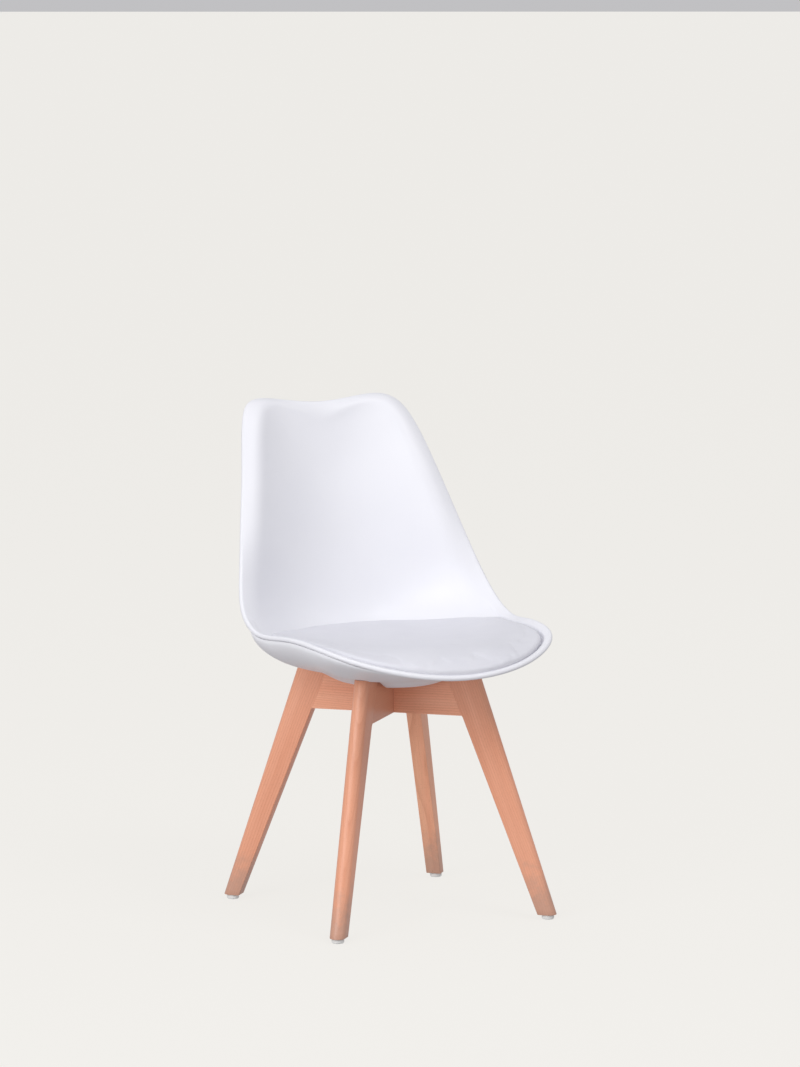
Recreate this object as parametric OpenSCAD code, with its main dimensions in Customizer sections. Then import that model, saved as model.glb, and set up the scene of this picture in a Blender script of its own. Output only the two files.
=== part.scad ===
// Dining chair: a one-piece moulded seat shell with a thin cushion, a cover under the seat,
// and a beech cross frame with four splayed legs on glides.
// Front of the chair is -Y, right is +X, up is +Z, the floor is z = 0. All sizes in mm.

/* [Wood frame] */
// thickness of the legs and of the cross rails
wood_t = 25.5; // [20:0.5:32]
// height of the top of the legs and rails
wood_top = 402; // [380:1:420]
// height of the underside of the cross rails
rail_low = 329; // [310:1:345]
// height of the cut end of each leg above the floor
leg_low = 7.7; // [5:0.1:12]
// distance from the middle of the chair to the inner edge of a foot
foot_in = 256.5; // [230:0.5:280]
// distance from the middle of the chair to the outer edge of a foot
foot_out = 285.5; // [260:0.5:310]
// inward lean of the outer edge of a leg, per mm of height
lean_out = 0.335; // [0.2:0.005:0.45]
// inward lean of the inner edge of a leg, per mm of height
lean_in = 0.399; // [0.2:0.001:0.45]

/* [Seat shell] */
// wall of the moulded shell
shell_t = 3; // [2.5:0.1:5]
// radius of the rounded rim
bead_r = 4; // [3:0.5:7]
// depth of the pocket that takes the cushion
pocket = 6; // [3:0.5:9]
// distance of the chair's origin behind the middle of the cross
origin_y = -7.3; // [-15:0.1:0]

/* [Cushion] */
// thickness of the cushion in the middle
crown = 33; // [18:1:40]
// thickness of the cushion at its edge
edge_h = 11; // [6:0.5:12]
// cover material
skin = 1.2; // [0.8:0.1:2]

/* [Cover under the seat] */
// wall of the cover
cover_t = 2.6; // [2:0.1:4]
// lowest level of the cover beside the rails
hump_low = 379; // [372:1:385]
// level of the saddles that sit on the rails
saddle = 402.5; // [402.2:0.1:406]

/* [Fasteners] */
// distance of the frame bolts from the middle
bolt_at = 67; // [65:1:69]
// shank radius of a frame bolt
bolt_r = 2.95; // [2.5:0.05:4]
// distance of the cover screws from the middle
screw_at = 67; // [65:1:69]
// diameter of a wooden dowel
dowel_d = 8; // [6:0.5:10]
// radius of a glide
glide_r = 10; // [8:0.5:14]

/* [Hidden] */
inner_low = foot_in - (rail_low - leg_low) * lean_in;
inner_top = foot_in - (wood_top - leg_low) * lean_in;
lean_deg = atan(lean_out);
half_t = wood_t / 2;
shoulder = rail_low + 30;
white = [0.93, 0.93, 0.95];
beech = [0.82, 0.58, 0.42];
steel = [0.7, 0.7, 0.72];
brass = [0.8, 0.66, 0.35];

// ---- the seat surface -------------------------------------------------------------
// The rim is a smooth closed curve, and the spine is the profile down the middle of the
// seat and up the back. Both run from the front centre (0) to the top centre (12), and
// are mirrored from 12 to 24. The shell is drawn out from the spine to the rim.
rim_c = [[0, -267, 418], [96, -261, 429], [170, -218, 447], [211, -170, 467], [220, -73, 474],
         [233, 5, 461], [232, 74, 494], [211, 110, 567], [191, 147, 647], [173, 176, 714],
         [151, 227, 804], [118, 260, 829], [0, 249, 801]];
spine_c = [[-172, 433], [-166, 433], [-154, 432], [-119, 430], [-60, 427], [-3, 427], [100, 427],
           [159, 450], [182, 547], [197, 632], [222, 706], [231, 746], [235, 763]];

function turn(j) = (j + 48) % 24;
function fold(t) = let (m = turn(t)) m <= 12 ? m : 24 - m;
function sgn(j) = turn(j) <= 12 ? 1 : -1;
function rim_k(j) = let (c = rim_c[fold(j)]) [sgn(j) * c[0], c[1], c[2]];
function spine_k(j) = let (c = spine_c[fold(j)]) [0, c[0], c[1]];
function w0(f) = pow(1 - f, 3) / 6;
function w1(f) = (3 * f * f * f - 6 * f * f + 4) / 6;
function w2(f) = (3 * f * f + 3 * f - 3 * f * f * f + 1) / 6;
function w3(f) = f * f * f / 6;
function rim(t) = let (i = floor(t), f = t - i)
  w0(f) * rim_k(i - 1) + w1(f) * rim_k(i) + w2(f) * rim_k(i + 1) + w3(f) * rim_k(i + 2);
function spine(t) = let (i = floor(t), f = t - i)
  w0(f) * spine_k(i - 1) + w1(f) * spine_k(i) + w2(f) * spine_k(i + 1) + w3(f) * spine_k(i + 2);

function unit(v) = v / norm(v);
function clamp(x, a, b) = min(max(x, a), b);
function ease(x, a, b) = let (u = clamp((x - a) / (b - a), 0, 1)) u * u * (3 - 2 * u);
// direction of the spine, and the direction square to it on the sitter's side
function along(t) = let (m = clamp(fold(t), 0.5, 11.5)) unit(spine(m + 0.1) - spine(m - 0.1));
function facing(t) = let (a = along(t)) [0, -a[2], a[1]];
function power(t) = 3.1 - 1.1 * ease(fold(t), 5.8, 8.2);
// how far the edge rolls back, and how wide the roll is: most at the wings of the backrest
function flare(t) = 2 + 21 * ease(fold(t), 5.2, 7.7) - 11 * ease(fold(t), 10, 12);
function roll_w(t) = 28 + 2 * ease(fold(t), 5.2, 7.7) + 8 * ease(fold(t), 10, 12);
function sink(t) = pocket * (1 - ease(fold(t), 4.6, 6.2));
function tilt(t) = atan(2 * flare(t) / roll_w(t));
// outward and square directions at the rim
function rim_out(t) = let (v = facing(t), d = rim(t) - spine(t), q = unit(rim(t + 0.02) - rim(t - 0.02)),
  g = d + (power(t) - 1) * (d * v) * v) unit(g - (g * q) * q);
function rim_up(t) = cross(rim_out(t), unit(rim(t + 0.02) - rim(t - 0.02)));
function rim_edge(t, r, deg) = let (e = rim_out(t), n = rim_up(t))
  rim(t) + 2 * e + r * (cos(deg) * e + sin(deg) * n);
// the front face of the shell at r = 0 (spine) to 1 (start of the rounded rim)
function face(t, r, low = 1) = let (n = rim_up(t), h = flare(t), v = facing(t), c = spine(t),
  d = rim_edge(t, bead_r, 90 - tilt(t)) + h * n - c, s = d * v, r0 = 1 - roll_w(t) / norm(d),
  q = max(0, (r - r0) / (1 - r0)), dip = 1 - clamp((r - 0.945) / 0.013, 0, 1))
  c + r * (d - s * v) + pow(r, power(t)) * s * v - h * q * q * n
  - low * sink(t) * dip * v;
function square(t, r) = let (k = clamp(r, 0.04, 1), w = clamp(r / 0.15, 0, 1),
  a = face(t, k + 0.02, 0) - face(t, k - 0.02, 0), b = face(t + 0.02, k, 0) - face(t - 0.02, k, 0))
  unit(w * unit(cross(a, b)) + (1 - w) * facing(t));

// a closed skin over rings of points; the first and last rings each close on themselves
function skin_faces(rings, n, flip) = [for (i = [0 : rings - 2], j = [0 : n - 1], k = [0, 1])
  let (a = i * n + j, b = i * n + (j + 1) % n, c = b + n, d = a + n)
  k == 0 ? (flip ? [c, b, a] : [a, b, c]) : (flip ? [d, c, a] : [a, c, d])];

// ---- seat shell -------------------------------------------------------------------
shell_n = 96;
shell_r = [0.1, 0.22, 0.34, 0.46, 0.58, 0.7, 0.81, 0.89, 0.945, 0.958, 0.98, 1];
bead_k = [0.2, 0.4, 0.6, 0.8, 1];
function ring_t(j) = 24 * j / shell_n;
// bead angle: from the tangent of the face round to the underside of the lip
function bead_a(t, k) = (90 - tilt(t)) * (1 - k) - 75 * k;
function shell_ring(i) = [for (j = [0 : shell_n - 1]) let (t = ring_t(j))
  i < 12 ? face(t, shell_r[i])
  : i < 17 ? rim_edge(t, bead_r, bead_a(t, bead_k[i - 12]))
  : i < 21 ? rim_edge(t, bead_r - shell_t, bead_a(t, [1, 0.7, 0.35, 0][i - 17]))
  : let (r = shell_r[31 - i]) face(t, r) - shell_t * square(t, r)];
shell_rings = 32;
half = shell_n / 2;
// the spine points, shared by the two halves: front face first, then the back face
spine_front = [for (j = [0 : half]) face(ring_t(j), 0)];
spine_back = [for (j = [0 : half]) face(ring_t(j), 0) - shell_t * facing(ring_t(j))];
shell_pts = concat([for (i = [0 : shell_rings - 1]) each shell_ring(i)], spine_front, spine_back);
sf = shell_rings * shell_n;
sb = sf + half + 1;
function spine_i(base, j) = base + (j <= half ? j : shell_n - j);
// strips between the spine and the ring next to it, with no zero-length edges
function spine_faces(base, ring, flip) = [for (j = [0 : shell_n - 1], k = [0, 1])
  let (a = spine_i(base, j), b = spine_i(base, (j + 1) % shell_n),
       c = ring + (j + 1) % shell_n, d = ring + j,
       f = k == 0 ? [a, b, c] : [a, c, d]) flip ? f : [f[2], f[1], f[0]]];

function shell_faces() = concat(skin_faces(shell_rings, shell_n, false),
  spine_faces(sf, 0, true), spine_faces(sb, (shell_rings - 1) * shell_n, false));

// bosses moulded under the shell: four for the frame bolts and four slim ones for the cover
module at_bolt(k) { rotate([0, 0, 45 + 90 * k]) translate([bolt_at, 0, 0]) children(); }
module at_screw(k) { rotate([0, 0, 90 * k]) translate([screw_at, 0, 0]) children(); }

module boss(low, high, r, bore, deep) {
  difference() {
    translate([0, 0, low]) cylinder(r = r, h = high - low);
    translate([0, 0, low - 1]) cylinder(r = bore, h = deep + 1);
  }
}

module seat_shell() color(white) translate([0, -origin_y, 0]) union() {
  polyhedron(points = shell_pts, faces = shell_faces(), convexity = 8);
  for (k = [0 : 3]) at_bolt(k) boss(saddle + cover_t + 0.4, k < 2 ? 424.2 : 420.3, 9, 4.55, 13);
  for (k = [0 : 3]) at_screw(k)
    boss(pad_z(k) + cover_t + 0.6, [421.4, 425.6, 421.4, 420.4][k], 4.5, 1.4, 14);
}

// ---- cushion: rings of points over the seat, from the middle out to the edge ---------
cush_n = 60;
cush_u = [0.16, 0.32, 0.48, 0.62, 0.74, 0.84, 0.91, 0.955, 0.985, 1];
// loop round the cushion: s from 0 to 1 on the right half, 1 to 2 on the left half
function half_s(s) = s <= 1 ? s : 2 - s;
function rear_a(s) = 90 * max(0, (half_s(s) - 0.6) / 0.4);
function loop_t(s, u, rear) = let (m = half_s(s),
  f = m <= 0.6 ? 5 * m / 0.6 : 5 + (rear - 5) * (1 - pow(cos(rear_a(s)), 3)) * pow(u, 0.6))
  s <= 1 ? f : 24 - f;
// thickness of the pad from the middle (u = 0) to the edge (u = 1)
function pad_h(u, top, rim_h) = rim_h + (top - rim_h) * (1 - pow(u, 3))
  - (u > 0.9 ? 0.7 * rim_h * pow((u - 0.9) / 0.1, 3) : 0);
function pad_pt(s, u, edge, rear, h) = let (t = loop_t(s, u, rear), r = edge * cos(rear_a(s)) * u)
  face(t, r) + h * square(t, r);
function pad_ring(u, edge, rear, h) = [for (j = [0 : cush_n - 1]) pad_pt(2 * j / cush_n, u, edge, rear, h)];
// points along the spine, shared by the two halves of a pad
cush_h = cush_n / 2;
cush_k = floor(0.6 * cush_h + 0.001);
function pad_spine(edge, rear, h) = [for (j = [0 : cush_k]) pad_pt(2 * j / cush_n, 0, edge, rear, h)];
function pad_i(base, j) = let (k = j % cush_n) base + min(k <= cush_h ? k : cush_n - k, cush_k);
function pad_strip(base, ring, flip) = [for (j = [0 : cush_n - 1], k = [0, 1])
  let (p = pad_i(base, j), q = pad_i(base, j + 1), r = ring + (j + 1) % cush_n, s = ring + j,
       f = k == 0 ? [p, q, r] : [p, r, s])
  if (k == 1 || p != q) flip ? f : [f[2], f[1], f[0]]];

// a closed body over rings of points, each end of which closes on the spine
module ringed(rings, first, last) {
  m = len(rings);
  polyhedron(points = concat([for (g = rings) each g], first, last),
    faces = concat(skin_faces(m, cush_n, false), pad_strip(m * cush_n, 0, true),
                   pad_strip(m * cush_n + cush_k + 1, (m - 1) * cush_n, false)), convexity = 4);
}

// a plain pad between two levels above the seat; top is its height in the middle
module pad(edge, rear, low, top, rim_h, us) {
  n = len(us);
  ringed(concat([for (u = us) pad_ring(u, edge, rear, low + pad_h(u, top, rim_h))],
                [for (i = [n - 1 : -1 : 0]) pad_ring(us[i], edge, rear, low)]),
    pad_spine(edge, rear, low + pad_h(0, top, rim_h)), pad_spine(edge, rear, low));
}

clear = 0.4;
board_t = 2.4;
edge_r = 0.94;
rear_t = 6.67;
pad_low = clear + skin + 0.3;
coarse_u = [0.2, 0.4, 0.6, 0.78, 0.9, 0.96, 1];

module cushion_board() color([0.35, 0.35, 0.36]) translate([0, -origin_y, 0])
  pad(edge_r - 0.022, rear_t - 0.16, pad_low, board_t + 0.001, board_t, [0.3, 0.6, 0.85, 0.995]);

module cushion_foam() color([0.9, 0.86, 0.6]) translate([0, -origin_y, 0])
  pad(edge_r - 0.022, rear_t - 0.16, pad_low + board_t + 0.3,
      crown - board_t - 2 * skin - 1.2, edge_h - board_t - skin - 0.9, coarse_u);

// the cover goes over the foam, round the edge, and ends in a hem under the board
hem_u = 0.86;
function hem_ring(u, lift, inset) = pad_ring(u, edge_r - inset, rear_t - 7 * inset, lift);
module cushion_cover() color([0.92, 0.92, 0.95]) translate([0, -origin_y, 0])
  ringed(concat(
      [for (u = cush_u) pad_ring(u, edge_r, rear_t, clear + pad_h(u, crown, edge_h))],
      [hem_ring(0.995, clear, 0), hem_ring(0.93, clear, 0), hem_ring(hem_u, clear, 0)],
      [hem_ring(hem_u, clear + skin, 0), hem_ring(0.93, clear + skin, 0)],
      [hem_ring(0.999, clear + skin, 0.007)],
      [for (i = [8 : -1 : 0]) let (u = cush_u[i])
        hem_ring(u, clear + pad_h(u, crown, edge_h) - skin * (u > 0.9 ? 0.85 : 1), 0.007)]),
    pad_spine(edge_r, rear_t, clear + crown),
    pad_spine(edge_r - 0.007, rear_t - 0.05, clear + crown - skin));

// ---- cover under the seat ------------------------------------------------------------
// Its edge follows the rim of the shell, drawn in at the front, and crosses the lower back.
edge_n = 120;
function edge_q(s) = max(0, (half_s(s) - 0.6) / 0.4);
function edge_pt(s) = let (m = half_s(s), q = edge_q(s), f = m < 0.6 ? 5 * m / 0.6 : 5 + 1.9 * sin(90 * q),
  t = s <= 1 ? f : 24 - f, r = cos(90 * q), w = ease(q, 0, 0.35), d = 1 - ease(f, 0.8, 3))
  (1 - w) * (rim(t) + (3.2 - 9 * d) * rim_out(t) - 4.4 * rim_up(t))
  + w * (face(t, r) - (shell_t + 0.8) * square(t, r));
edge_pts = [for (j = [0 : edge_n - 1]) edge_pt(2 * j / edge_n)];
// radius and height of the edge against the angle round the middle of the cross
function full_a(p) = let (a = atan2(p[1], p[0])) a < -90 ? a + 360 : a;
edge_list = [for (p = edge_pts) [full_a(p), norm([p[0], p[1]]), p[2]]];
function edge_table(m) = concat([[-90, edge_list[0][m]]],
  [for (i = [1 : edge_n - 1]) [edge_list[i][0], edge_list[i][m]]], [[270, edge_list[0][m]]]);
edge_r_at = edge_table(1);
edge_z_at = edge_table(2);
function wrap_a(a) = let (b = (a + 720) % 360) b > 270 ? b - 360 : b;
function reach(a) = lookup(wrap_a(a), edge_r_at);
function brim(a) = lookup(wrap_a(a), edge_z_at);

wall_in = 13.6;
wall_out = 22;
arm_off = [-22, -19.5, -17, -15, -5, 5, 15, 17, 19.5, 22];
gaps = 7;
ring_r = [51, 62, 72, 84, 96, 110, 126];
ring_u = [0.14, 0.28, 0.42, 0.56, 0.7, 0.82, 0.91, 0.97, 1];
cols = 4 * (len(arm_off) + gaps - 1);
rings_n = len(ring_r) + len(ring_u);
// one column of the mesh: angle at radius r, and distance from the nearest rail line
function col_a(c, r) = let (w = len(arm_off) + gaps - 1, arm = floor(c / w), k = c % w, al = 45 + 90 * arm,
  edge = asin(wall_out / r))
  k < len(arm_off) ? al + asin(arm_off[k] / r)
  : al + edge + (90 - 2 * edge) * (k - len(arm_off) + 1) / gaps;
function col_r(c, i, r, left) = left == 0 ? r
  : col_r(c, i, ring_r[6] + (reach(col_a(c, r)) - ring_r[6]) * ring_u[i - 7], left - 1);
belly_z = 395;
function belly(x, y, a, r) = let (floor_z = belly_z + 0.19 * max(0, -y - 134), rho = min(1, r / reach(a)),
  z = floor_z + (brim(a) - floor_z) * (1 - pow(1 - pow(rho, 2.7), 0.6)))
  z - (belly_z - hump_low) * (1 - ease(norm([x, y + 4]), 73, 133));
function soft_rise(z, d) = z + 0.5 * (d + sqrt(d * d + 16));
function saddle_z(x, y, a, r) = let (z = belly(x, y, a, r), n = min(abs(x + y), abs(x - y)) / sqrt(2),
  w = 1 - ease(n, wall_in, wall_out)) z + w * max(0, soft_rise(z, saddle - z) - z);
// shallow dimples for the heads of the cover screws
dimple = 3;
function screw_pt(k) = screw_at * [cos(90 * k), sin(90 * k)];
function pad_z(k) = let (p = screw_pt(k)) dimple + saddle_z(p[0], p[1], 90 * k, screw_at);
function cover_z(x, y, a, r) = let (k = (round(a / 90) + 4) % 4)
  saddle_z(x, y, a, r) + dimple * (1 - ease(norm([x, y] - screw_pt(k)), 8.5, 15));
function cover_pt(c, i, dz) = let (r = i < 7 ? ring_r[i] : col_r(c, i, ring_r[6], 4), a = col_a(c, r),
  x = r * cos(a), y = r * sin(a)) [x, y, cover_z(x, y, a, r) + dz];
function rise(i) = cover_t * (i < 10 ? 1 : 1.25);
function inner_pt(c, i) = let (p = cover_pt(c, i, 0), k = i < 11 ? 0 : cover_t * (i - 10) / 5.5,
  f = 1 - k / norm([p[0], p[1]])) [p[0] * f, p[1] * f, p[2] + (i == rings_n - 1 ? 0 : rise(i))];
mid_low = [0, 0, saddle];
cover_pts = concat([for (i = [0 : rings_n - 1], c = [0 : cols - 1]) cover_pt(c, i, 0)],
                   [for (i = [rings_n - 1 : -1 : 0], c = [0 : cols - 1]) inner_pt(c, i)],
                   [mid_low, mid_low + [0, 0, cover_t]]);
// openings: one cell over each frame bolt and one over each cover screw
function col_k(c) = c % (len(arm_off) + gaps - 1);
function open_at(i, c) = i == 1 && (col_k(c) == 4 || col_k(c) == len(arm_off) + (gaps - 1) / 2 - 1);
function cell(i, c) = let (d = (c + 1) % cols, m = i * cols) [m + c, m + d, m + cols + d, m + cols + c];
function twin(p) = let (i = floor(p / cols)) (2 * rings_n - 1 - i) * cols + p % cols;
cover_faces = concat(
  [for (i = [0 : rings_n - 2], c = [0 : cols - 1], k = [0, 1]) let (q = cell(i, c))
    if (!open_at(i, c)) k == 0 ? [q[2], q[1], q[0]] : [q[3], q[2], q[0]]],
  [for (i = [0 : rings_n - 2], c = [0 : cols - 1], k = [0, 1]) let (q = [for (p = cell(i, c)) twin(p)])
    if (!open_at(i, c)) k == 0 ? [q[0], q[1], q[2]] : [q[0], q[2], q[3]]],
  [for (c = [0 : cols - 1], k = [0, 1])
    let (p = (rings_n - 1) * cols + c, q = (rings_n - 1) * cols + (c + 1) % cols)
    k == 0 ? [twin(q), q, p] : [twin(p), twin(q), p]],
  [for (i = [0 : rings_n - 2], c = [0 : cols - 1], j = [0 : 3], k = [0, 1])
    let (q = cell(i, c), p = q[j], r = q[(j + 1) % 4])
    if (open_at(i, c)) k == 0 ? [twin(r), r, p] : [twin(p), twin(r), p]],
  [for (c = [0 : cols - 1]) [2 * rings_n * cols, c, (c + 1) % cols]],
  [for (c = [0 : cols - 1]) [2 * rings_n * cols + 1, twin((c + 1) % cols), twin(c)]]);

module underseat_cover() color([0.84, 0.84, 0.87]) translate([0, -origin_y, 0])
  polyhedron(points = cover_pts, faces = cover_faces, convexity = 8);

// ---- wood frame ----------------------------------------------------------------------
dowel_z = [rail_low + 20, rail_low + 52];
function inner_at(z) = foot_in - (z - leg_low) * lean_in;
foot_mid = (foot_in + foot_out) / 2;
module toward(a) translate([0, -origin_y, 0]) rotate([0, 0, a]) children();

module leg() {
  difference() {
    intersection() {
      // outer edge: a half round that leans inward as it rises
      translate([foot_out, 0, leg_low]) rotate([0, -lean_deg, 0]) translate([0, 0, -40])
        linear_extrude(height = 500) union() {
          translate([-half_t, 0]) circle(r = half_t, $fn = 96);
          translate([-80 - half_t, -half_t]) square([80, wood_t]);
        }
      rotate([90, 0, 0]) translate([0, 0, -30]) linear_extrude(height = 60)
        polygon([[foot_in, leg_low], [foot_out + 10, leg_low], [foot_out + 10, wood_top],
                 [inner_top, wood_top]]);
    }
    for (z = dowel_z) translate([inner_at(z) - 10, 0, z]) rotate([0, 90, 0])
      cylinder(d = dowel_d + 0.1, h = 31);
    translate([foot_mid, 0, leg_low - 5]) cylinder(r = 1.15, h = 20.5);
  }
}
module leg_front_left() color(beech) toward(225) leg();
module leg_front_right() color(beech) toward(315) leg();
module leg_back_left() color(beech) toward(135) leg();
module leg_back_right() color(beech) toward(45) leg();

// one cross rail along X with slanted ends, dowel holes and stepped holes for the bolts
module rail_bar() {
  e = 0.1;
  difference() {
    rotate([90, 0, 0]) translate([0, 0, -half_t]) linear_extrude(height = wood_t)
      polygon([[-inner_low + e, rail_low], [inner_low - e, rail_low], [inner_top - e, wood_top],
               [-inner_top + e, wood_top]]);
    for (s = [-1, 1]) {
      for (z = dowel_z) translate([s * (inner_at(z) - 5), 0, z]) rotate([0, 90, 0])
        translate([0, 0, -21]) cylinder(d = dowel_d + 0.1, h = 42);
      translate([s * bolt_at, 0, rail_low - 1]) cylinder(r = 3.3, h = wood_top - rail_low + 2);
      translate([s * bolt_at, 0, rail_low - 1]) cylinder(r = 7.5, h = shoulder - rail_low + 1);
    }
    translate([0, 0, rail_low - 1]) cylinder(r = 2.3, h = wood_top - rail_low + 2);
  }
}
lap = (wood_top + rail_low) / 2;
module cross_rail_lower() color(beech) toward(45) difference() {
  rail_bar();
  translate([-half_t - 0.1, -half_t - 1, lap - 0.1]) cube([wood_t + 0.2, wood_t + 2, 60]);
}
module cross_rail_upper() color(beech) toward(135) difference() {
  rail_bar();
  translate([-half_t - 0.1, -half_t - 1, lap + 0.1 - 60]) cube([wood_t + 0.2, wood_t + 2, 60]);
  translate([0, 0, lap]) cylinder(r = 1.75, h = 30);
}

module leg_dowels() color([0.87, 0.7, 0.5])
  for (a = [45 : 90 : 315], z = dowel_z) toward(a)
    translate([inner_at(z) - 19.5, 0, z]) rotate([0, 90, 0]) cylinder(d = dowel_d, h = 39);

// ---- glides and fasteners --------------------------------------------------------------
module glide() translate([foot_mid, 0, 0]) rotate_extrude($fn = 64)
  polygon(concat([[1.2, 2.4], [3.4, 2.4], [3.4, 0], [glide_r - 2.4, 0]],
    [for (a = [-60 : 30 : 0]) [glide_r - 2.4 + 2.4 * cos(a), 2.4 + 2.4 * sin(a)]],
    [[glide_r, leg_low - 1.4], [glide_r - 1, leg_low - 0.05], [1.2, leg_low - 0.05]]));
module glide_front_left() color([0.9, 0.9, 0.9]) toward(225) glide();
module glide_front_right() color([0.9, 0.9, 0.9]) toward(315) glide();
module glide_back_left() color([0.9, 0.9, 0.9]) toward(135) glide();
module glide_back_right() color([0.9, 0.9, 0.9]) toward(45) glide();

module glide_nails() color(steel) for (a = [45 : 90 : 315]) toward(a) translate([foot_mid, 0, 0]) {
  translate([0, 0, 1.3]) cylinder(r = 3, h = 1);
  translate([0, 0, 2.2]) cylinder(r = 1.1, h = 19);
}

// socket head bolts up through the rails and the cover into the seat
module frame_bolts() color(steel) translate([0, -origin_y, 0]) for (k = [0 : 3]) at_bolt(k) {
  difference() {
    translate([0, 0, shoulder - 9.2]) cylinder(r = 5, h = 6);
    translate([0, 0, shoulder - 10]) cylinder(r = 2.9, h = 4, $fn = 6);
  }
  translate([0, 0, shoulder - 3.3]) cylinder(r = bolt_r, h = 60);
}
module ring(r, bore, h) difference() {
  cylinder(r = r, h = h);
  translate([0, 0, -1]) cylinder(r = bore, h = h + 2);
}
module bolt_lock_washers() color(steel) translate([0, -origin_y, 0]) for (k = [0 : 3]) at_bolt(k)
  translate([0, 0, shoulder - 3.15]) ring(5.6, 3.1, 1.5);
module bolt_flat_washers() color(steel) translate([0, -origin_y, 0]) for (k = [0 : 3]) at_bolt(k)
  translate([0, 0, shoulder - 1.62]) ring(7.1, 3.2, 1.6);
module seat_inserts() color(brass) translate([0, -origin_y, 0]) for (k = [0 : 3]) at_bolt(k)
  translate([0, 0, saddle + cover_t + 0.5]) ring(4.5, 3, 12);

module cross_screw() color(steel) translate([0, -origin_y, 0]) {
  translate([0, 0, rail_low - 2.6]) cylinder(r1 = 3.6, r2 = 4.4, h = 2.55);
  translate([0, 0, rail_low - 0.1]) cylinder(r = 1.7, h = 62);
}
module cover_screws() color(steel) translate([0, -origin_y, 0]) for (k = [0 : 3]) at_screw(k) {
  translate([0, 0, pad_z(k) - 2.5]) cylinder(r1 = 5.6, r2 = 7, h = 2.3);
  translate([0, 0, pad_z(k) - 0.3]) cylinder(r = 1.35, h = 16);
}

seat_shell();
underseat_cover();
cushion_cover();
cushion_foam();
cushion_board();
leg_front_left();
leg_front_right();
leg_back_left();
leg_back_right();
cross_rail_lower();
cross_rail_upper();
leg_dowels();
glide_front_left();
glide_front_right();
glide_back_left();
glide_back_right();
glide_nails();
frame_bolts();
bolt_lock_washers();
bolt_flat_washers();
seat_inserts();
cross_screw();
cover_screws();
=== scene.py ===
"""Looks of the dining chair: a moulded tub seat, its cushion and cover, and a beech cross frame.

All shapes are worked out in millimetres round the middle of the cross frame, with the front of
the chair towards -Y. make_mesh moves them into the model's own frame, in metres.
"""

import math

import bmesh
import bpy
import numpy as np
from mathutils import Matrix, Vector


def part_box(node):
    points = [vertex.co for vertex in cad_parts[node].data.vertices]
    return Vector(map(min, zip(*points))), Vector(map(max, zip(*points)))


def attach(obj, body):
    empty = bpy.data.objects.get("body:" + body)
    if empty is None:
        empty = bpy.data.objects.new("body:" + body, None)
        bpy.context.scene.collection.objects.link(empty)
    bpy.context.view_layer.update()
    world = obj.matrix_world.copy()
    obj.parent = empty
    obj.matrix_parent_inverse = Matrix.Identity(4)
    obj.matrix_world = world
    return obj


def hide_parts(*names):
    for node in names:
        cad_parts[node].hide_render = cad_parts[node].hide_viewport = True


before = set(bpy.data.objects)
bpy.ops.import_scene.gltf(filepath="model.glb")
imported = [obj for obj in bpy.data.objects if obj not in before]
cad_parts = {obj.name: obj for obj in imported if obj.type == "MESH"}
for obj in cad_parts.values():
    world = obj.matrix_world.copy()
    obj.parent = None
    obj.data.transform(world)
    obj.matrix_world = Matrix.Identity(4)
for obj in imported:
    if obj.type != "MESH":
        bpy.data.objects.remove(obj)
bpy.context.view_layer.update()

BODY = "root"
# the four legs, and the direction that each one points in, in degrees
CORNERS = {"back_right": 45, "back_left": 135, "front_left": 225, "front_right": 315}


def middle_of(node):
    low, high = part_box(node)
    return (low + high) / 2


# the middle of the four glides is the middle of the cross frame
CENTRE = sum((middle_of(f"glide_{corner}") for corner in CORNERS), Vector()) / 4
CENTRE.z = 0
LEG_LOW, LEG_TOP = (1000 * corner.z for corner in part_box("leg_front_left"))
RAIL_LOW = 1000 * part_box("cross_rail_upper")[0].z

# ---- the seat surface ----------------------------------------------------------------------
# The rim is a closed curve and the spine is the profile down the middle. Both run from the
# front centre (t = 0) to the top centre (t = TOP), and are mirrored from there to t = ROUND.
TOP, ROUND = 12, 24
RIM = np.array([
    [0, -267, 418], [96, -261, 429], [170, -218, 447], [211, -170, 467], [220, -73, 474],
    [233, 5, 461], [232, 74, 494], [211, 110, 567], [191, 147, 647], [173, 176, 714],
    [151, 227, 804], [118, 260, 829], [0, 249, 801]], float)
SPINE = np.array([
    [0, -172, 433], [0, -166, 433], [0, -154, 432], [0, -119, 430], [0, -60, 427], [0, -3, 427],
    [0, 100, 427], [0, 159, 450], [0, 182, 547], [0, 197, 632], [0, 222, 706], [0, 231, 746],
    [0, 235, 763]], float)
WALL = 3.0
# the rounded rim: its radius, how far its middle is outside the curve, where it ends below
BEAD, BEAD_OUT = 4.0, 2
LIP_END = math.radians(-75)
# the cushion's pocket: its depth, and the step at its edge, as shares of the way to the rim
POCKET = 6.0
POCKET_EDGE = (0.945, 0.958)
# the small step over which a direction is measured
NEAR = 0.02


def unit(v):
    """Vectors of the same direction, with a length of 1."""
    return v / np.linalg.norm(v, axis=-1, keepdims=True)


def dot(a, b):
    return (a * b).sum(-1, keepdims=True)


def ease(x, a, b):
    """A smooth step, 0 up to a and 1 from b on."""
    u = np.clip((x - a) / (b - a), 0, 1)
    return u * u * (3 - 2 * u)


def fold(t):
    """The matching place on the right half, from 0 to TOP."""
    m = np.mod(t, ROUND)
    return np.where(m <= TOP, m, ROUND - m)


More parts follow.
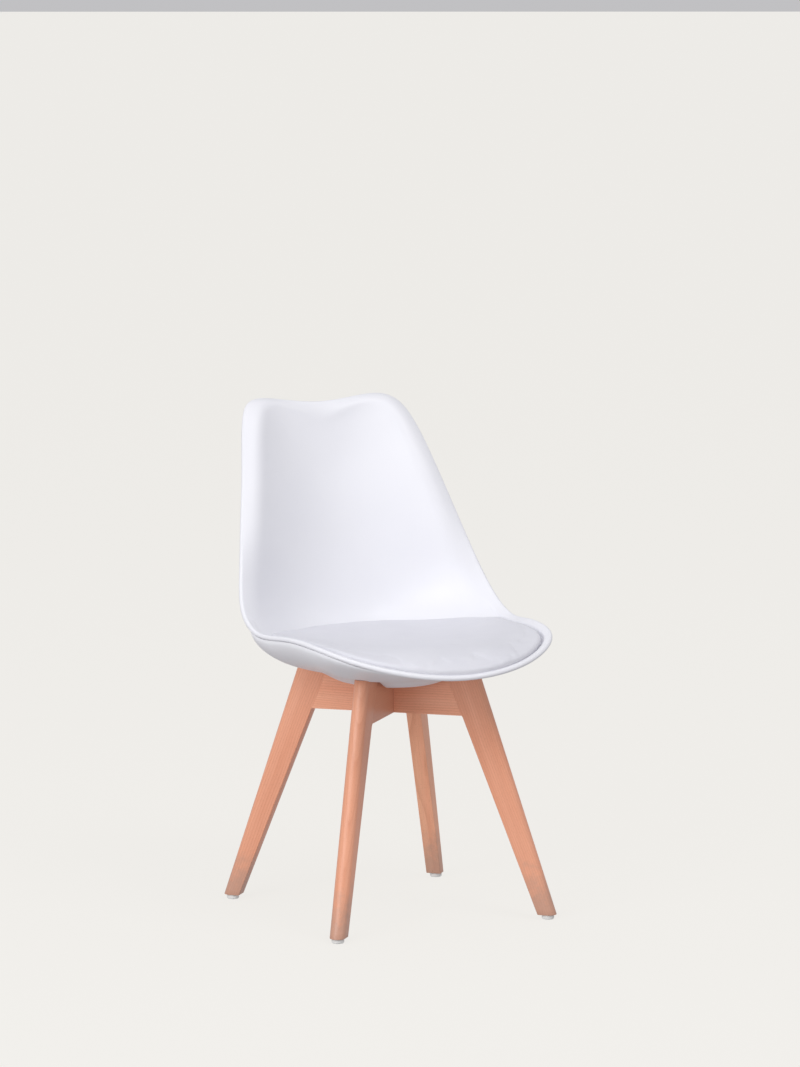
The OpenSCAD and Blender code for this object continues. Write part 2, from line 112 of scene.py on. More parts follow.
def spline(points, t):
    """A point on the closed cubic B-spline whose second half mirrors the first."""
    t = np.asarray(t, float)
    i = np.floor(t).astype(int)
    f = (t - i)[..., None]

    def control(j):
        value = points[fold(j)].copy()
        value[..., 0] *= np.where(np.mod(j, ROUND) <= TOP, 1.0, -1.0)
        return value

    return ((1 - f) ** 3 * control(i - 1) + (3 * f ** 3 - 6 * f * f + 4) * control(i)
            + (3 * f + 3 * f * f - 3 * f ** 3 + 1) * control(i + 1) + f ** 3 * control(i + 2)) / 6


def rim(t):
    return spline(RIM, t)


def spine(t):
    return spline(SPINE, t)


def facing(t):
    """The direction square to the spine, on the sitter's side."""
    m = np.clip(fold(t), 0.5, TOP - 0.5)
    a = unit(spine(m + 0.1) - spine(m - 0.1))
    return np.stack([np.zeros(a.shape[:-1]), -a[..., 2], a[..., 1]], -1)


def wing(t):
    """0 round the seat, 1 from the wings up."""
    return ease(fold(t), 5.2, 7.7)


def crest(t):
    """0 up to the horns, 1 at the middle of the top edge."""
    return ease(fold(t), 10, TOP)


def power(t):
    """How flat the surface stays before it turns up to the rim."""
    return 3.1 - 1.1 * ease(fold(t), 5.8, 8.2)


def flare(t):
    """How far the edge rolls back: a little round the seat, a lot at the wings."""
    return 2 + 21 * wing(t) - 11 * crest(t)


def roll_width(t):
    """How wide the rolled edge is."""
    return 28 + 2 * wing(t) + 8 * crest(t)


def tilt(t):
    """The slope of the rolled edge at the rim."""
    return np.arctan(2 * flare(t) / roll_width(t))


def sink(t):
    """The depth of the cushion's pocket, which runs out towards the wings."""
    return POCKET * (1 - ease(fold(t), 4.6, 6.2))


def rim_axes(t):
    """Directions at the rim: outward, and square to it on the sitter's side."""
    v = facing(t)
    d = rim(t) - spine(t)
    q = unit(rim(t + NEAR) - rim(t - NEAR))
    g = d + (power(t)[..., None] - 1) * dot(d, v) * v
    out = unit(g - dot(g, q) * q)
    return out, np.cross(out, q)


def rim_edge(t, radius, angle):
    """A point on the rounded rim."""
    out, up = rim_axes(t)
    angle = np.asarray(angle)[..., None]
    return rim(t) + BEAD_OUT * out + radius * (np.cos(angle) * out + np.sin(angle) * up)


def face(t, r, low=True):
    """The sitter's side of the shell, from the spine (r = 0) to the rounded rim (r = 1). With
    low, the cushion's pocket is sunk into it."""
    t, r = np.broadcast_arrays(np.asarray(t, float), np.asarray(r, float))
    up = rim_axes(t)[1]
    h = flare(t)[..., None]
    v = facing(t)
    d = rim_edge(t, BEAD, math.pi / 2 - tilt(t)) + h * up - spine(t)
    s = dot(d, v)
    r0 = 1 - roll_width(t) / np.linalg.norm(d, axis=-1)
    q = np.maximum(0, (r - r0) / (1 - r0))[..., None]
    rr = r[..., None]
    bowl = np.power(np.maximum(rr, 0), power(t)[..., None])
    point = spine(t) + rr * (d - s * v) + bowl * s * v - h * q * q * up
    if low:
        dip = 1 - np.clip((r - POCKET_EDGE[0]) / (POCKET_EDGE[1] - POCKET_EDGE[0]), 0, 1)
        point = point - (sink(t) * dip)[..., None] * v
    return point


def square(t, r):
    """The direction square to the sitter's side. Next to the spine it goes over to facing."""
    t, r = np.broadcast_arrays(np.asarray(t, float), np.asarray(r, float))
    k = np.clip(r, 0.04, 1)
    w = np.clip(r / 0.15, 0, 1)[..., None]
    a = face(t, k + NEAR, False) - face(t, k - NEAR, False)
    b = face(t + NEAR, k, False) - face(t - NEAR, k, False)
    return unit(w * unit(np.cross(a, b)) + (1 - w) * facing(t))


# ---- mesh helpers ------------------------------------------------------------------------
WELD = 1e-5


def ring_quads(rings, count):
    """Faces between successive closed rings of points."""
    quads = []
    for i in range(rings - 1):
        for j in range(count):
            a, b = i * count + j, i * count + (j + 1) % count
            quads.append((a, b, b + count, a + count))
    return quads


def smooth(mesh):
    mesh.polygons.foreach_set("use_smooth", [True] * len(mesh.polygons))


def link(name, data):
    """A new object in the scene."""
    piece = bpy.data.objects.new(name, data)
    bpy.context.scene.collection.objects.link(piece)
    return piece


def make_mesh(name, points, faces):
    """An object from points in the design's millimetres, with its faces turned outward."""
    mesh = bpy.data.meshes.new(name)
    placed = np.asarray(points, float) / 1000 + np.array(CENTRE)
    mesh.from_pydata([tuple(p) for p in placed], [], faces)
    bm = bmesh.new()
    bm.from_mesh(mesh)
    bmesh.ops.remove_doubles(bm, verts=bm.verts, dist=WELD)
    bmesh.ops.dissolve_degenerate(bm, edges=bm.edges, dist=WELD)
    bmesh.ops.recalc_face_normals(bm, faces=bm.faces)
    bm.to_mesh(mesh)
    bm.free()
    smooth(mesh)
    return link(name, mesh)


def apply_modifiers(piece):
    """Replaces the piece's mesh with what its modifiers make of it."""
    bpy.context.view_layer.update()
    graph = bpy.context.evaluated_depsgraph_get()
    mesh = bpy.data.meshes.new_from_object(piece.evaluated_get(graph))
    piece.modifiers.clear()
    piece.data = mesh


def paint(mesh, material):
    """Gives the whole mesh one material."""
    mesh.materials.clear()
    mesh.materials.append(material)


def dress(piece, material, node):
    """Gives a piece its material and its slot, and puts it in the place of a node."""
    paint(piece.data, material)
    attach(piece, BODY)
    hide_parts(node)


# ---- pieces --------------------------------------------------------------------------------
def make_shell():
    """The tub: sitter's side, rounded rim, and outer side, as one closed skin."""
    count = 288
    t = np.arange(count) * ROUND / count
    # close rings at the step of the pocket's edge
    step = np.array([0.93, POCKET_EDGE[0], 0.949, 0.954, POCKET_EDGE[1], 0.966])
    radii = np.concatenate([np.linspace(0, 0.9, 25), step, np.linspace(0.975, 1, 4)])
    start = math.pi / 2 - tilt(t)
    rings = [face(t, r) for r in radii]
    for k in np.linspace(0, 1, 9)[1:]:
        rings.append(rim_edge(t, BEAD, start + (LIP_END - start) * k))
    for k in np.linspace(1, 0, 5):
        rings.append(rim_edge(t, BEAD - WALL, start + (LIP_END - start) * k))
    for r in radii[-2::-1]:
        rings.append(face(t, r) - WALL * square(t, r))
    return make_mesh("seat_shell_skin", np.concatenate(rings), ring_quads(len(rings), count))


# A line round the seat alone, for the edges of the cover and the cushion: it follows the rim up
# to t = SIDE_END, which takes the share SIDE_SHARE of each half, and then crosses the rear.
SIDE_END, SIDE_SHARE = 5, 0.6


def round_seat(s):
    """For s from 0 to 2 round that line: the share of the half, and the angle of the crossing."""
    m = np.where(s <= 1, s, 2 - s)
    return m, math.pi / 2 * np.maximum(0, (m - SIDE_SHARE) / (1 - SIDE_SHARE))


def both_sides(s, f):
    """The place t on the side that s is on, for its matching place f on the right half."""
    return np.where(s <= 1, f, ROUND - f)


# the cover under the seat: its wall, the level of its floor, and that of the hump below it
COVER_WALL, BELLY, HUMP = 2.6, 395, 379
# its edge, measured from the rim: outward, downward, and how far it is drawn in at the front
COVER_OUT, COVER_DOWN, COVER_DRAWN = 3.2, 5.0, 9
# how far up its rear goes past t = SIDE_END, and its gap to the back of the shell there
COVER_REAR, COVER_GAP = 1.9, 0.8
# how the bowl rises to its edge, and how much its front slopes up, from how far forward
BOWL_START, BOWL_END = 2.7, 0.6
FRONT_SLOPE, FRONT_FROM = 0.19, 134
# where the hump is level and where it ends, from its middle, and how far forward that is
HUMP_IN, HUMP_OUT, HUMP_AHEAD = 73, 133, 4
# the screws' dimples, ahead, behind and at both sides: distance out, depth, flat and edge
SCREW_AT, DIMPLE, DIMPLE_IN, DIMPLE_OUT = 67, 3.0, 8.5, 15
# the saddle over each rail: level, half width of its floor and of its top, and softness
SADDLE, WALL_IN, WALL_OUT, SADDLE_SOFT = LEG_TOP + 1.2, 13.6, 22, 4


def cover_edge(s):
    """The cover's edge: under the rim at the sides, drawn in at the front, up over the back."""
    m, rear = round_seat(s)
    side = SIDE_END * m / SIDE_SHARE
    f = np.where(m < SIDE_SHARE, side, SIDE_END + COVER_REAR * np.sin(rear))
    t = both_sides(s, f)
    r = np.cos(rear)
    w = ease(rear / (math.pi / 2), 0, 0.35)[:, None]
    d = (1 - ease(f, 0.8, 3))[:, None]
    out, up = rim_axes(t)
    beside = rim(t) + (COVER_OUT - COVER_DRAWN * d) * out - COVER_DOWN * up
    behind = face(t, r) - (WALL + COVER_GAP) * square(t, r)
    return (1 - w) * beside + w * behind


def cover_height(x, y, reach, brim):
    """The level of the cover's underside: a bowl with a hump, four screw dimples, and a saddle
    over each rail. reach and brim say how far out and how high its edge is."""
    rho = np.minimum(1, np.hypot(x, y) / reach)
    low = BELLY + FRONT_SLOPE * np.maximum(0, -y - FRONT_FROM)
    z = low + (brim - low) * (1 - np.maximum(0, 1 - rho ** BOWL_START) ** BOWL_END)
    z = z - (BELLY - HUMP) * (1 - ease(np.hypot(x, y + HUMP_AHEAD), HUMP_IN, HUMP_OUT))
    beside = np.minimum(np.abs(x), np.abs(y))
    along = np.abs(np.maximum(np.abs(x), np.abs(y)) - SCREW_AT)
    z = z + DIMPLE * (1 - ease(np.hypot(beside, along), DIMPLE_IN, DIMPLE_OUT))
    from_rail = np.minimum(np.abs(x + y), np.abs(x - y)) / math.sqrt(2)
    d = SADDLE - z
    lift = 0.5 * (d + np.sqrt(d * d + SADDLE_SOFT ** 2))
    return z + (1 - ease(from_rail, WALL_IN, WALL_OUT)) * lift


def make_cover():
    """The cover as rings round the middle, out to its edge."""
    edge = cover_edge(np.linspace(0, 2, 960, endpoint=False))
    angle = np.degrees(np.arctan2(edge[:, 1], edge[:, 0])) % 360
    order = np.argsort(angle)
    angle, edge = angle[order], edge[order]
    count = 480
    a = np.arange(count) * 360 / count
    reach = np.interp(a, angle, np.hypot(edge[:, 0], edge[:, 1]), period=360)
    brim = np.interp(a, angle, edge[:, 2], period=360)
    rings = []
    for u in np.concatenate([np.linspace(0.004, 0.9, 60), np.linspace(0.915, 1, 14)]):
        x, y = (u * reach * f(np.radians(a)) for f in (np.cos, np.sin))
        rings.append(np.stack([x, y, cover_height(x, y, reach, brim)], -1))
    faces = ring_quads(len(rings), count)
    faces.append(tuple(range(count)))
    piece = make_mesh("underseat_cover_skin", np.concatenate(rings), faces)
    solid = piece.modifiers.new("wall", "SOLIDIFY")
    solid.thickness = COVER_WALL / 1000
    solid.offset = -1
    apply_modifiers(piece)
    return piece


# the cushion: how far out it reaches at the sides, and the place t of its rear
PAD_EDGE, PAD_REAR = 0.94, 6.67
# its height in the middle and at the edge, and its gap to the seat
PAD_CROWN, PAD_RIM, PAD_LIFT = 33, 11, 0.4
# the skin, in metres: the spacing of its points, and the most that air may swell it
SKIN_STEP, PUFF = 0.004, 0.0012


def pad_point(s, u, lift):
    """A point of the cushion: s goes round it, u from the middle out, lift above the seat."""
    m, rear = round_seat(s)
    back = (PAD_REAR - SIDE_END) * (1 - np.cos(rear) ** 3) * u ** 0.6
    t = both_sides(s, np.where(m <= SIDE_SHARE, SIDE_END * m / SIDE_SHARE, SIDE_END + back))
    r = PAD_EDGE * np.cos(rear) * u
    return face(t, r) + lift * square(t, r)


def pad_height(u):
    """The cushion's thickness, u of the way from its middle to its edge."""
    return PAD_RIM + (PAD_CROWN - PAD_RIM) * (1 - u ** 3)


def padded_skin(name, source):
    """The cushion's skin: an even remesh of the pattern, blown out a little by air as cloth,
    and only outward, so that it never falls inside the pattern."""
    skin = link(name, source.data.copy())
    remesh = skin.modifiers.new("even", "REMESH")
    remesh.mode = "VOXEL"
    remesh.voxel_size = SKIN_STEP
    snug = skin.modifiers.new("snug", "SHRINKWRAP")
    snug.target = source
    snug.wrap_method = "NEAREST_SURFACEPOINT"
    apply_modifiers(skin)
    count = len(skin.data.vertices)
    start, normal = np.empty(count * 3), np.empty(count * 3)
    skin.data.vertices.foreach_get("co", start)
    skin.data.vertices.foreach_get("normal", normal)
    start, normal = start.reshape(-1, 3), normal.reshape(-1, 3)
    cloth = skin.modifiers.new("air", "CLOTH")
    fabric = cloth.settings
    fabric.quality = 6
    fabric.mass = 0.3
    fabric.tension_stiffness = 25
    fabric.compression_stiffness = 25
    fabric.shear_stiffness = 15
    fabric.bending_stiffness = 4
    fabric.use_pressure = True
    fabric.uniform_pressure_force = 4
    fabric.effector_weights.gravity = 0
    cloth.collision_settings.use_self_collision = False
    for number in range(1, 21):
        bpy.context.scene.frame_set(number)
    apply_modifiers(skin)
    end = np.empty(count * 3)
    skin.data.vertices.foreach_get("co", end)
    swell = np.clip(dot(end.reshape(-1, 3) - start, normal), 0, PUFF)
    skin.data.vertices.foreach_set("co", (start + swell * normal).ravel())
    skin.data.update()
    bpy.context.scene.frame_set(1)
    finer = skin.modifiers.new("finer", "SUBSURF")
    finer.levels = 1
    finer.render_levels = 1
    apply_modifiers(skin)
    smooth(skin.data)
    bpy.data.objects.remove(source)
    return skin


def make_cushion():
    """The cushion as rings from the middle of its top, round its edge, to under its middle."""
    count = 240
    s = np.arange(count) * 2 / count
    rings = []
    for u in np.concatenate([np.linspace(0, 0.9, 22), np.linspace(0.92, 0.99, 5)]):
        rings.append(pad_point(s, u, PAD_LIFT + pad_height(u)))
    for a in np.linspace(75, -75, 7):
        a = math.radians(a)
        rings.append(pad_point(s, 0.99 + 0.01 * math.cos(a),
                               PAD_LIFT + PAD_RIM * (0.5 + 0.5 * math.sin(a))))
    for u in (0.97, 0.9, 0.8, 0.6, 0.4, 0.2, 0):
        rings.append(pad_point(s, u, PAD_LIFT))
    points, faces = np.concatenate(rings), ring_quads(len(rings), count)
    return padded_skin("seat_cushion", make_mesh("cushion_pattern", points, faces))


# the legs: how far out the inner and outer edges are at the foot, and how much they lean in
FOOT_IN, FOOT_OUT = 256.5, 285.5
LEAN_IN, LEAN_OUT = 0.399, 0.335
LEG_LEAN = math.degrees(math.atan((LEAN_IN + LEAN_OUT) / 2))
# the timber, and its inner corners' radius, below the rails and where they meet them
THICK = 25.5
EASED, SHARP = 1.6, 0.25
# faces that meet at more than this, in degrees, keep a sharp edge between them
CREASE = 35


def leg_outline(z, shrink):
    """One level of a leg, as (distance from the middle, sideways): a half-round outer edge
    and two inner corners, eased below the rails and sharp where they meet them."""
    half = THICK / 2 - shrink
    eased = EASED if z < RAIL_LOW - 2 else SHARP
    inner = FOOT_IN - (z - LEG_LOW) * LEAN_IN + shrink
    deep = half * math.hypot(1, LEAN_OUT)
    centre = FOOT_OUT - (z - LEG_LOW) * LEAN_OUT - shrink - deep
    outline = []
    for a in np.radians(np.linspace(-90, 90, 25)):
        outline.append((centre + deep * math.cos(a), half * math.sin(a)))
    for corner, side in ((90, 1), (180, -1)):
        for a in np.radians(np.linspace(corner, corner + 90, 5)):
            outline.append((inner + eased * (1 + math.cos(a)),
                            side * (half - eased) + eased * math.sin(a)))
    return np.array(outline)


def make_leg(corner):
    """One leg, from its chamfered foot to its slightly rounded top."""
    levels = [(LEG_LOW, 0.8), (LEG_LOW + 0.25, 0.25), (LEG_LOW + 0.8, 0)]
    levels += [(z, 0) for z in np.linspace(LEG_LOW + 10, RAIL_LOW - 3, 30)]
    levels += [(z, 0) for z in np.linspace(RAIL_LOW - 1, LEG_TOP - 10, 10)]
    levels += [(LEG_TOP - 0.6, 0), (LEG_TOP - 0.15, 0.2), (LEG_TOP, 0.6)]
    a = math.radians(CORNERS[corner])
    rings = []
    for z, shrink in levels:
        outline = leg_outline(z, shrink)
        out, side = outline[:, 0], outline[:, 1]
        rings.append(np.stack([out * math.cos(a) - side * math.sin(a),
                               out * math.sin(a) + side * math.cos(a),
                               np.full(len(outline), z)], -1))
    count = len(rings[0])
    faces = ring_quads(len(rings), count)
    faces.append(tuple(range(count))[::-1])
    faces.append(tuple(range((len(rings) - 1) * count, len(rings) * count)))
    piece = make_mesh(f"leg_{corner}_wood", np.concatenate(rings), faces)
    piece.data.set_sharp_from_angle(angle=math.radians(CREASE))
    return piece


# ---- materials ------------------------------------------------------------------------------
class Nodes:
    """A material's node tree, with short ways to add to it."""

    def __init__(self, name):
        self.material = bpy.data.materials.new(name)
        self.material.use_nodes = True
        self.tree = self.material.node_tree
        self.shader = self.tree.nodes["Principled BSDF"]
        self.place = self.add("ShaderNodeTexCoord").outputs["Object"]

    def add(self, kind, **inputs):
        node = self.tree.nodes.new(kind)
        for name, value in inputs.items():
            self.feed(node.inputs[name.replace("_", " ")], value)
        return node

    def feed(self, socket, value):
        if isinstance(value, bpy.types.NodeSocket):
            self.tree.links.new(value, socket)
        else:
            socket.default_value = value

    def set(self, **inputs):
        """Sets or links the shader's own sockets."""
        for name, value in inputs.items():
            self.feed(self.shader.inputs[name.replace("_", " ")], value)

    def noise(self, place, scale, detail=2, roughness=0.5, distortion=0.0):
        return self.add("ShaderNodeTexNoise", Vector=place, Scale=scale, Detail=detail,
                        Roughness=roughness, Distortion=distortion).outputs["Fac"]

    def mapping(self, place, scale, location=(0, 0, 0)):
        return self.add("ShaderNodeMapping", Vector=place, Scale=scale,
                        Location=location).outputs[0]

    def math(self, operation, a, b=0.0):
        node = self.add("ShaderNodeMath")
        node.operation = operation
        self.feed(node.inputs[0], a)
        self.feed(node.inputs[1], b)
        return node.outputs[0]

    def span(self, value, low, high, to_low=0.0, to_high=1.0):
        node = self.add("ShaderNodeMapRange", Value=value, From_Min=low, From_Max=high,
                        To_Min=to_low, To_Max=to_high)
        return node.outputs[0]

    def mix(self, factor, a, b):
        # inputs 6 and 7 and output 2 are the node's colour sockets
        node = self.tree.nodes.new("ShaderNodeMix")
        node.data_type = "RGBA"
        self.feed(node.inputs[0], factor)
        self.feed(node.inputs[6], a)
        self.feed(node.inputs[7], b)
        return node.outputs[2]

    def bump(self, height, strength, distance):
        return self.add("ShaderNodeBump", Height=height, Strength=strength,
                        Distance=distance).outputs["Normal"]


def plastic(name, colour, shade, roughness, grain):
    """Satin moulded plastic: a faint mottle in colour and gloss, and a very fine pebble."""
    n = Nodes(name)
    mottle = n.noise(n.place, 9, 3)
    fine = n.noise(n.place, 1500, 2, 0.6)
    soft = n.noise(n.place, 60, 3)
    n.set(Base_Color=n.mix(n.span(mottle, 0.3, 0.7), (*shade, 1), (*colour, 1)),
          Roughness=n.span(soft, 0.3, 0.7, roughness - 0.03, roughness + 0.04),
          Normal=n.bump(n.math("ADD", n.math("MULTIPLY", soft, 0.4), fine), grain, 0.0002),
          Specular_IOR_Level=0.4)
    return n.material


def upholstery(name):
    """Smooth white coated fabric: soft sheen, fine pebbled grain, faint creases."""
    n = Nodes(name)
    cells = n.add("ShaderNodeTexVoronoi", Vector=n.place, Scale=700.0)
    cells.feature = "DISTANCE_TO_EDGE"
    grain = n.span(cells.outputs["Distance"], 0.0, 0.25)
    cloud = n.noise(n.place, 14, 4, 0.55)
    crease = n.noise(n.place, 45, 3, 0.5, 0.6)
    height = n.math("ADD", n.math("MULTIPLY", grain, 0.35), n.math("MULTIPLY", crease, 1.2))
    shade, white = (0.70, 0.70, 0.755, 1), (0.74, 0.74, 0.79, 1)
    n.set(Base_Color=n.mix(n.span(cloud, 0.3, 0.7), shade, white),
          Roughness=n.span(cloud, 0.3, 0.7, 0.42, 0.52),
          Normal=n.bump(height, 0.25, 0.0006),
          Specular_IOR_Level=0.4, Sheen_Weight=0.05)
    return n.material


BEECH_PALE = (0.90, 0.47, 0.315)
BEECH_LIGHT = (0.87, 0.412, 0.26)
BEECH_MID = (0.81, 0.36, 0.218)
BEECH_DARK = (0.66, 0.25, 0.14)
FLECK = (0.40, 0.15, 0.085)
WORN = (0.46, 0.30, 0.235)


def beech(name, azimuth, lean, seed, tone_and_light=1.0, pith=(0.02, 0.03), worn=True):
    """Lacquered beech. The grain runs along local X, which is turned to the timber's length,
    and the growth rings are round a pith that leans a little from it. The tone factor makes one
    piece of timber lighter or darker than the next: partly the timber's own tone, and partly
    painted light and shade for how lit or shaded that piece should look. worn greys its foot."""
    n = Nodes(name)
    centred = n.add("ShaderNodeVectorMath", Vector=n.place)
    centred.operation = "SUBTRACT"
    centred.inputs[1].default_value = CENTRE
    turned = n.add("ShaderNodeVectorRotate", Vector=centred.outputs[0])
    turned.rotation_type = "EULER_XYZ"
    turned.invert = True
    turned.inputs["Rotation"].default_value = (0, math.radians(lean), math.radians(azimuth))
    along = turned.outputs[0]
    # growth rings, cut at a small angle so that they open into long arches
    bent = n.add("ShaderNodeVectorRotate", Vector=along)
    bent.rotation_type = "EULER_XYZ"
    bent.inputs["Rotation"].default_value = (0, pith[0], pith[1])
    parts = n.add("ShaderNodeSeparateXYZ", Vector=bent.outputs[0])
    wander = n.noise(n.mapping(along, (1.3, 6, 6), (seed, 0, 0)), 2.2, 2)
    y = n.math("ADD", parts.outputs[1], 0.055 + 0.004 * seed)
    radius = n.math("SQRT", n.math("ADD", n.math("MULTIPLY", y, y),
                                   n.math("MULTIPLY", parts.outputs[2], parts.outputs[2])))
    rings = n.math("MULTIPLY", n.math("ADD", radius, n.math("MULTIPLY", wander, 0.02)), 260)
    year = n.math("FRACT", rings)
    late = n.math("MULTIPLY", n.span(year, 0.45, 0.93), n.span(year, 1.0, 0.93))
    # long fibres, short dark flecks, broad changes of tone
    fibre = n.noise(n.mapping(along, (14, 900, 900), (seed, seed, 0)), 1, 4, 0.6)
    streak = n.noise(n.mapping(along, (3, 70, 70), (0, seed, seed)), 1, 3)
    cells = n.add("ShaderNodeTexVoronoi", Scale=1.0,
                  Vector=n.mapping(along, (170, 900, 900), (seed, 0, 3)))
    fleck = n.span(cells.outputs["Distance"], 0.28, 0.12)
    patch = n.noise(n.place, 5, 2)
    # the tone factor scales the wood's colours: partly its own tone, partly painted light and shade
    light, middle = ([min(1, tone_and_light * c) for c in base] for base in (BEECH_LIGHT, BEECH_MID))
    colour = n.mix(n.span(streak, 0.3, 0.7), (*light, 1), (*middle, 1))
    colour = n.mix(n.math("MULTIPLY", late, 0.4), colour, (*BEECH_DARK, 1))
    colour = n.mix(n.span(fibre, 0.35, 0.75, 0, 0.35), colour, (*BEECH_DARK, 1))
    colour = n.mix(n.math("MULTIPLY", fleck, 0.35), colour, (*FLECK, 1))
    colour = n.mix(n.span(patch, 0.35, 0.65, 0, 0.25), colour, (*BEECH_PALE, 1))
    # the foot is scuffed and greyed, and its varnish is chipped into dark specks
    if worn:
        height = n.add("ShaderNodeSeparateXYZ", Vector=n.place).outputs[2]
        scuff = n.noise(n.place, 55, 4, 0.65)
        edge = n.math("ADD", height, n.math("MULTIPLY", scuff, -0.12))
        grey = n.span(edge, 0.03, -0.03)
        colour = n.mix(n.math("MULTIPLY", grey, 0.6), colour, (*WORN, 1))
        speck = n.noise(n.mapping(along, (160, 420, 420), (0, seed, 1)), 1, 3, 0.7)
        bite = n.math("MULTIPLY", n.span(speck, 0.62, 0.72), n.span(height, 0.07, 0.01))
        colour = n.mix(n.math("MULTIPLY", bite, 0.7), colour, (*FLECK, 1))
    relief = n.math("ADD", fibre, n.math("MULTIPLY", fleck, -0.6))
    n.set(Base_Color=colour, Roughness=n.span(fibre, 0.3, 0.7, 0.3, 0.42),
          Normal=n.bump(relief, 0.12, 0.0003), Specular_IOR_Level=0.45)
    return n.material


def metal(name, colour, roughness):
    """Plated metal with fine turning marks and small changes of gloss."""
    n = Nodes(name)
    turned = n.noise(n.mapping(n.place, (60, 60, 2400)), 1, 3)
    cloud = n.noise(n.place, 220, 3)
    n.set(Base_Color=n.mix(cloud, (*colour, 1), (*(0.8 * c for c in colour), 1)),
          Roughness=n.span(turned, 0.3, 0.7, roughness - 0.08, roughness + 0.1),
          Normal=n.bump(turned, 0.1, 0.0001), Metallic=1)
    return n.material


def soft_fill(name, colour, pore):
    """Hidden foam or board: open pores over a mottled colour."""
    n = Nodes(name)
    cells = n.add("ShaderNodeTexVoronoi", Vector=n.place, Scale=pore).outputs["Distance"]
    n.set(Base_Color=n.mix(cells, (*colour, 1), (*(0.75 * c for c in colour), 1)),
          Normal=n.bump(cells, 0.5, 0.0005), Roughness=0.85)
    return n.material


def keep_node(node, material):
    """A CAD node whose shape is right keeps it, and gets a better material."""
    paint(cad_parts[node].data, material)


# ---- build -----------------------------------------------------------------------------------
white = plastic("white_plastic", (0.835, 0.835, 0.875), (0.82, 0.82, 0.865), 0.42, 0.12)
shade_white = plastic("cover_white", (0.845, 0.845, 0.88), (0.825, 0.825, 0.865), 0.45, 0.15)
leather = upholstery("white_upholstery")
zinc = metal("zinc_plate", (0.72, 0.72, 0.74), 0.32)
brass = metal("insert_brass", (0.80, 0.62, 0.30), 0.35)
nylon = plastic("glide_nylon", (0.86, 0.86, 0.84), (0.80, 0.80, 0.78), 0.5, 0.2)

dress(make_shell(), white, "seat_shell")
dress(make_cover(), shade_white, "underseat_cover")
cushion = make_cushion()
dress(cushion, leather, "cushion_cover")

# each timber's tone is partly its own and partly painted light and shade, most of all on the back
# right leg, which is painted lighter
LEG_TONE_AND_LIGHT = {"back_right": 1.3, "back_left": 1.07, "front_left": 1.0, "front_right": 1.03}
for seed, corner in enumerate(CORNERS):
    wood = beech(f"beech_{corner}", CORNERS[corner], -90 - LEG_LEAN, 1.7 * seed, LEG_TONE_AND_LIGHT[corner])
    dress(make_leg(corner), wood, f"leg_{corner}")
# painted light and shade on the rails: the upper rail, under the seat, is painted lighter, and the
# lower rail is painted darker as if in shadow
for rail, azimuth, seed, tone_and_light in (("lower", 45, 7, 0.88), ("upper", 135, 9, 1.2)):
    keep_node(f"cross_rail_{rail}", beech(f"beech_rail_{rail}", azimuth, 0, seed, tone_and_light, worn=False))
keep_node("leg_dowels", beech("dowel_beech", 45, 0, 3, worn=False))
for corner in CORNERS:
    keep_node(f"glide_{corner}", nylon)
for node in ("glide_nails", "frame_bolts", "bolt_lock_washers", "bolt_flat_washers",
             "cross_screw", "cover_screws"):
    keep_node(node, zinc)
keep_node("seat_inserts", brass)
keep_node("cushion_foam", soft_fill("cut_foam", (0.88, 0.83, 0.58), 900.0))
keep_node("cushion_board", soft_fill("dark_board", (0.09, 0.09, 0.095), 500.0))


# ---- floor, light and camera -------------------------------------------------------------------
def make_floor():
    """A pale floor without end, mostly its own brightness, so that shadows on it stay faint."""
    mesh = bpy.data.meshes.new("floor")
    size = 4000
    mesh.from_pydata([(-size, -size, 0), (size, -size, 0), (size, size, 0), (-size, size, 0)],
                     [], [(0, 1, 2, 3)])
    floor = link("floor", mesh)
    n = Nodes("pale_floor")
    n.set(Base_Color=(0.08, 0.079, 0.077, 1), Roughness=0.9, Specular_IOR_Level=0.0,
          Emission_Color=(0.855, 0.838, 0.805, 1), Emission_Strength=0.94)
    paint(mesh, n.material)
    floor.visible_diffuse = False
    floor.visible_glossy = False


LIGHT_AIM = Vector((0, 0, 0.55))
LIGHT_DISTANCE = 5.0
LIGHT_SIZE = 2.2
CAMERA_AIM = Vector((0.01644, -0.00141, 0.6210))
CAMERA_AZIMUTH, CAMERA_ELEVATION, CAMERA_DISTANCE = -27.9, 7.09, 6.840
LENS, SENSOR = 141.93, 36


def from_middle(azimuth, elevation, distance):
    """A place seen from the chair: azimuth 0 is straight in front of it, towards -Y, and a
    positive azimuth is towards +X."""
    azimuth, elevation = math.radians(azimuth), math.radians(elevation)
    return distance * Vector((math.sin(azimuth) * math.cos(elevation),
                              -math.cos(azimuth) * math.cos(elevation), math.sin(elevation)))


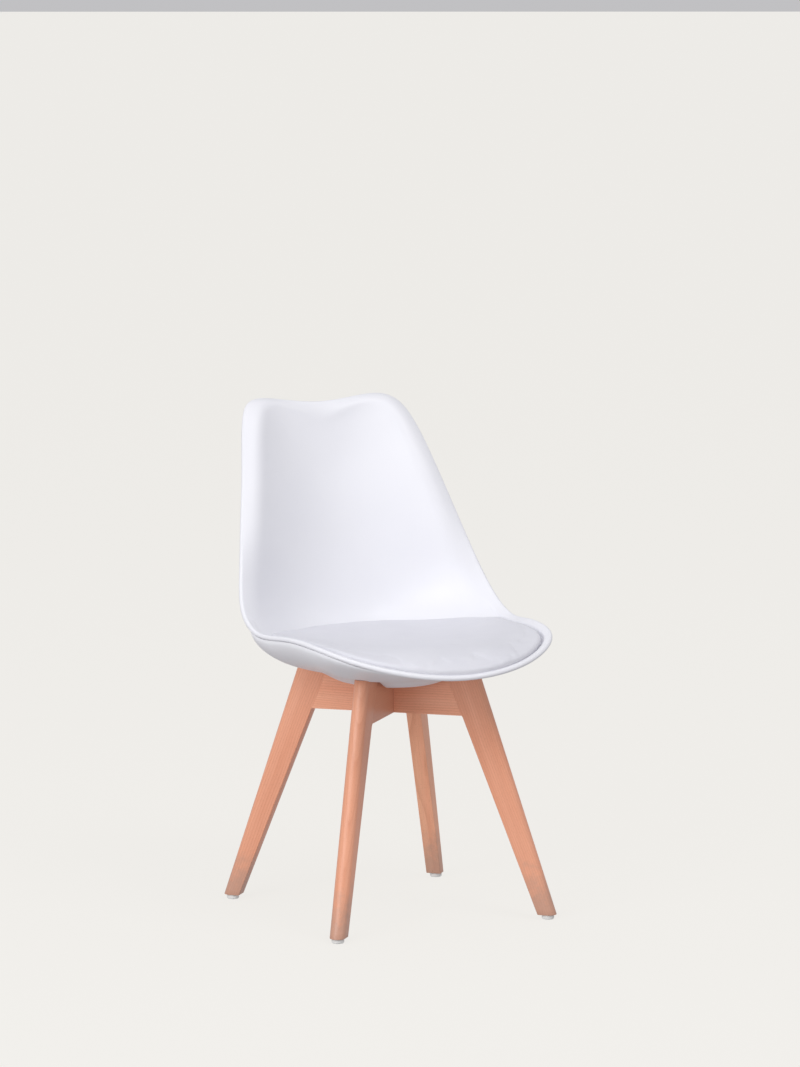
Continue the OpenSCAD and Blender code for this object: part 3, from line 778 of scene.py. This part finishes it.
def aim(piece, target, offset):
    """Stands a lamp or a camera at an offset from its target, and turns it to the target."""
    piece.location = target + offset
    piece.rotation_euler = (-offset).to_track_quat("-Z", "Y").to_euler()


def softbox(name, azimuth, elevation, energy):
    """A soft square light."""
    light = bpy.data.lights.new(name, "AREA")
    light.shape = "SQUARE"
    light.size = LIGHT_SIZE
    light.energy = energy
    aim(link(name, light), LIGHT_AIM, from_middle(azimuth, elevation, LIGHT_DISTANCE))


def make_world(top, bottom):
    """Even light from a pale room, a little darker below."""
    world = bpy.data.worlds.new("room")
    bpy.context.scene.world = world
    world.use_nodes = True
    tree = world.node_tree
    place = tree.nodes.new("ShaderNodeTexCoord").outputs["Generated"]
    height = tree.nodes.new("ShaderNodeSeparateXYZ")
    tree.links.new(place, height.inputs[0])
    span = tree.nodes.new("ShaderNodeMapRange")
    span.inputs["From Min"].default_value = -0.6
    span.inputs["From Max"].default_value = 0.2
    tree.links.new(height.outputs[2], span.inputs["Value"])
    mix = tree.nodes.new("ShaderNodeMix")
    mix.data_type = "RGBA"
    mix.inputs[6].default_value = (*bottom, 1)
    mix.inputs[7].default_value = (*top, 1)
    tree.links.new(span.outputs[0], mix.inputs[0])
    tree.links.new(mix.outputs[2], tree.nodes["Background"].inputs["Color"])


def make_camera():
    """A long lens in front of the chair and towards -X, above the height of the seat."""
    lens = bpy.data.cameras.new("camera")
    lens.sensor_fit = "VERTICAL"
    lens.sensor_height = SENSOR
    lens.sensor_width = SENSOR
    lens.lens = LENS
    lens.clip_end = 9000
    camera = link("camera", lens)
    aim(camera, CAMERA_AIM, from_middle(CAMERA_AZIMUTH, CAMERA_ELEVATION, CAMERA_DISTANCE))
    bpy.context.scene.camera = camera


make_floor()
make_world((0.56, 0.56, 0.575), (0.45, 0.44, 0.45))
softbox("high_front", 15, 55, 64)
softbox("left_front", -50, 30, 48)
softbox("left_low", -70, 8, 48)
softbox("left_side", -70, 30, 26)
make_camera()
bpy.context.scene.view_settings.view_transform = "Standard"
bpy.context.scene.cycles.use_denoising = True
